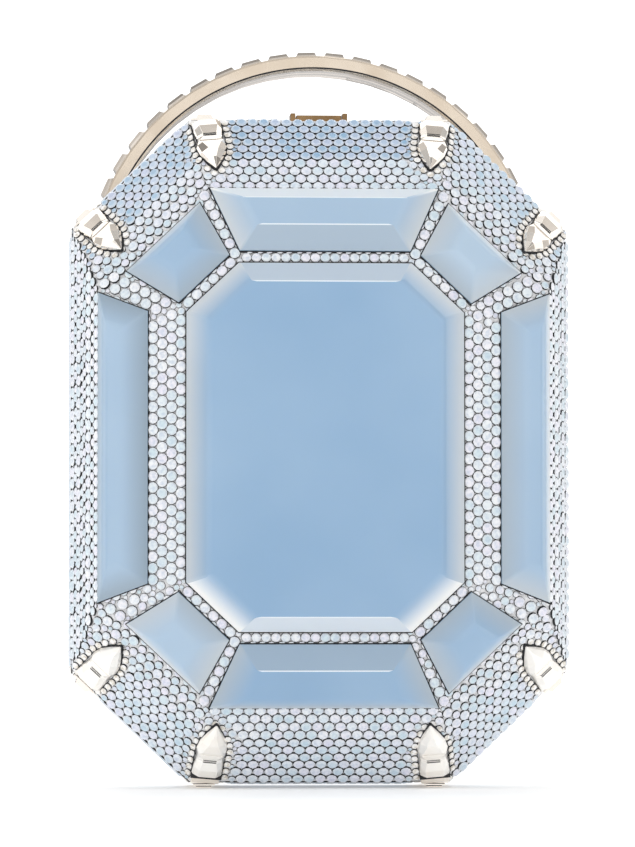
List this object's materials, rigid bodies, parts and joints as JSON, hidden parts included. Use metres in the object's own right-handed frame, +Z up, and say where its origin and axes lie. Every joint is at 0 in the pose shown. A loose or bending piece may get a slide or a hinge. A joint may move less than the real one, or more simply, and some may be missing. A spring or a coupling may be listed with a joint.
{
  "type": "clutch bag",
  "caption": "Hard evening bag shaped like a step-cut gemstone, with a hinged lid, claw settings, a push clasp and a swinging ring handle.",
  "frame": {"origin": "centre of the overall box, on the surface that the feet stand on", "axes": "+X to the bag's left as it is worn facing forward, which is the viewer's right; -Y out of the lid's centre stone; +Z up to the handle"},
  "size_m": [0.1274, 0.0658, 0.1891],
  "materials": {
    "champagne_metal": "polished pale gold plating",
    "pave_metal": "plated shell carrying set crystals",
    "set_crystal": "flat-backed cut crystals, opal blue with pale edges",
    "blue_stone": "polished step-cut resin",
    "bronze_metal": "dark gold plating",
    "spring_steel": "drawn wire",
    "ivory_suede": "soft suede lining"
  },
  "bodies": {
    "box": {"back_shell": "pave_metal", "box_crystal_rows": "set_crystal", "back_frame": "champagne_metal", "back_lining": "ivory_suede", "foot_bottom_left": "champagne_metal", "foot_bottom_right": "champagne_metal", "rear_claw_top_left": "champagne_metal", "rear_claw_top_right": "champagne_metal", "rear_claw_left_upper": "champagne_metal", "rear_claw_right_upper": "champagne_metal", "rear_claw_left_lower": "champagne_metal", "rear_claw_right_lower": "champagne_metal", "hinge_leaf_box": "champagne_metal", "hinge_pin": "champagne_metal", "clasp_bezel": "bronze_metal", "latch_bracket": "champagne_metal", "button_spring": "spring_steel", "handle_lug_left": "champagne_metal", "handle_lug_right": "champagne_metal", "handle_washer_left": "champagne_metal", "handle_washer_right": "champagne_metal", "pivot_screw_left": "champagne_metal", "pivot_screw_right": "champagne_metal"},
    "lid": {"front_shell": "pave_metal", "lid_crystal_rows": "set_crystal", "front_frame": "champagne_metal", "front_lining": "ivory_suede", "centre_stone": "blue_stone", "top_stone": "blue_stone", "bottom_stone": "blue_stone", "left_stone": "blue_stone", "right_stone": "blue_stone", "top_left_stone": "blue_stone", "top_right_stone": "blue_stone", "bottom_left_stone": "blue_stone", "bottom_right_stone": "blue_stone", "front_claw_top_left": "champagne_metal", "front_claw_top_right": "champagne_metal", "front_claw_bottom_left": "champagne_metal", "front_claw_bottom_right": "champagne_metal", "front_claw_left_upper": "champagne_metal", "front_claw_right_upper": "champagne_metal", "front_claw_left_lower": "champagne_metal", "front_claw_right_lower": "champagne_metal", "hinge_leaf_lid": "champagne_metal", "latch_tongue": "champagne_metal"},
    "button": {"push_button": "bronze_metal"},
    "handle": {"handle_band": "champagne_metal"}
  },
  "joints": [
    {"name": "lid_hinge", "type": "hinge", "parent": "box", "child": "lid", "pos_m": [0, -0.00613, 0.003], "axis": [1, 0, 0], "range_deg": [0, 45]},
    {"name": "button_press", "type": "slide", "parent": "box", "child": "button", "axis": [0, 0, -1], "range_m": [0, 0.0012], "stiffness_N_per_m": 800, "springref_m": -0.001, "deforming": ["button_spring"]},
    {"name": "handle_pivot", "type": "hinge", "parent": "box", "child": "handle", "pos_m": [0, 0.02488, 0.1305], "axis": [-1, 0, 0], "range_deg": [0, 172]}
  ]
}
